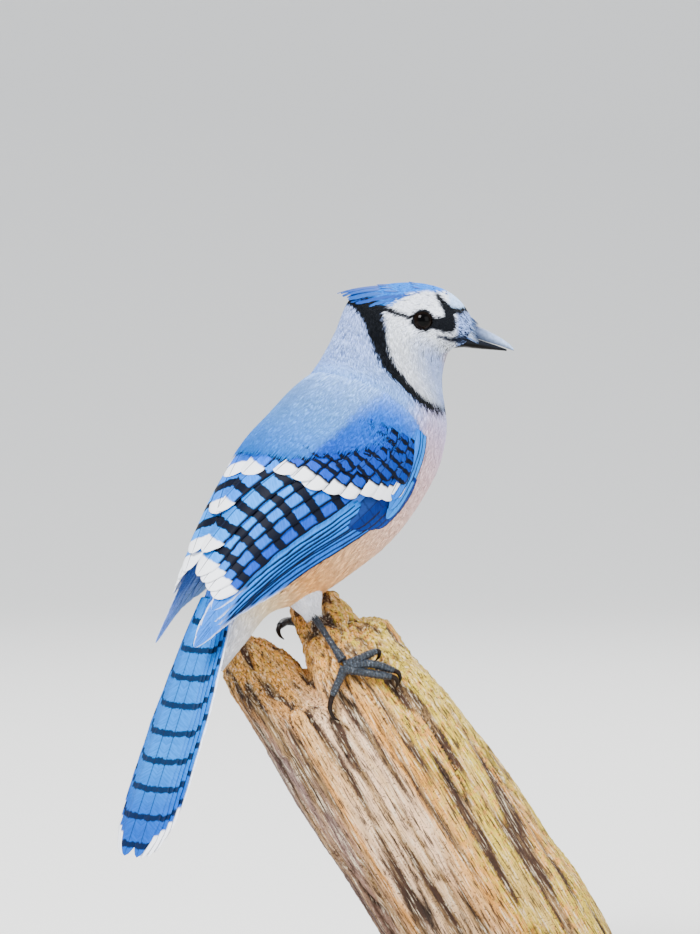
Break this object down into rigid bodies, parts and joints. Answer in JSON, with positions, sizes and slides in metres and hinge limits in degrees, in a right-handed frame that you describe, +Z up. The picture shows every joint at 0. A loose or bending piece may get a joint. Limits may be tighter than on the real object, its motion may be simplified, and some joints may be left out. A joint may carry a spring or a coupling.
{
  "type": "blue jay on a perch",
  "caption": "Life-size blue jay with folded wings, gripping the broken end of a weathered limb that short rods hold above a round base.",
  "frame": {"origin": "middle of the underside of the stand's base", "axes": "+Z up, +X the way the bird's body heads, +Y the bird's left"},
  "size_m": [0.2087, 0.17, 0.2881],
  "materials": {
    "face_feathers": "white face and throat feathers with a black collar and eye line, under a blue crest",
    "mantle_feathers": "soft lavender blue back, whitish breast and buff belly",
    "blue_feathers": "azure vanes barred with black and tipped with white",
    "thigh_feathers": "soft whitish down",
    "bill": "slate black horn with a satin sheen",
    "eye": "very dark brown, wet gloss",
    "leg_scales": "blue black leathery scales",
    "weathered_wood": "weathered bare wood, grey and golden grain with lichen",
    "stained_wood": "dark stained, satin varnish",
    "steel": "bright drawn rod"
  },
  "bodies": {
    "root": {"head": "face_feathers", "bill_upper": "bill", "bill_lower": "bill", "eye_right": "eye", "eye_left": "eye", "neck": "mantle_feathers", "torso": "mantle_feathers", "tail": "blue_feathers", "wing_left": "blue_feathers", "wing_right": "blue_feathers", "thigh_right": "thigh_feathers", "thigh_left": "thigh_feathers", "tarsus_right": "leg_scales", "tarsus_left": "leg_scales", "foot_right": "leg_scales", "foot_left": "leg_scales", "perch": "weathered_wood", "stand_base": "stained_wood", "stand_rod_front": "steel", "stand_rod_rear": "steel"}
  },
  "joints": []
}
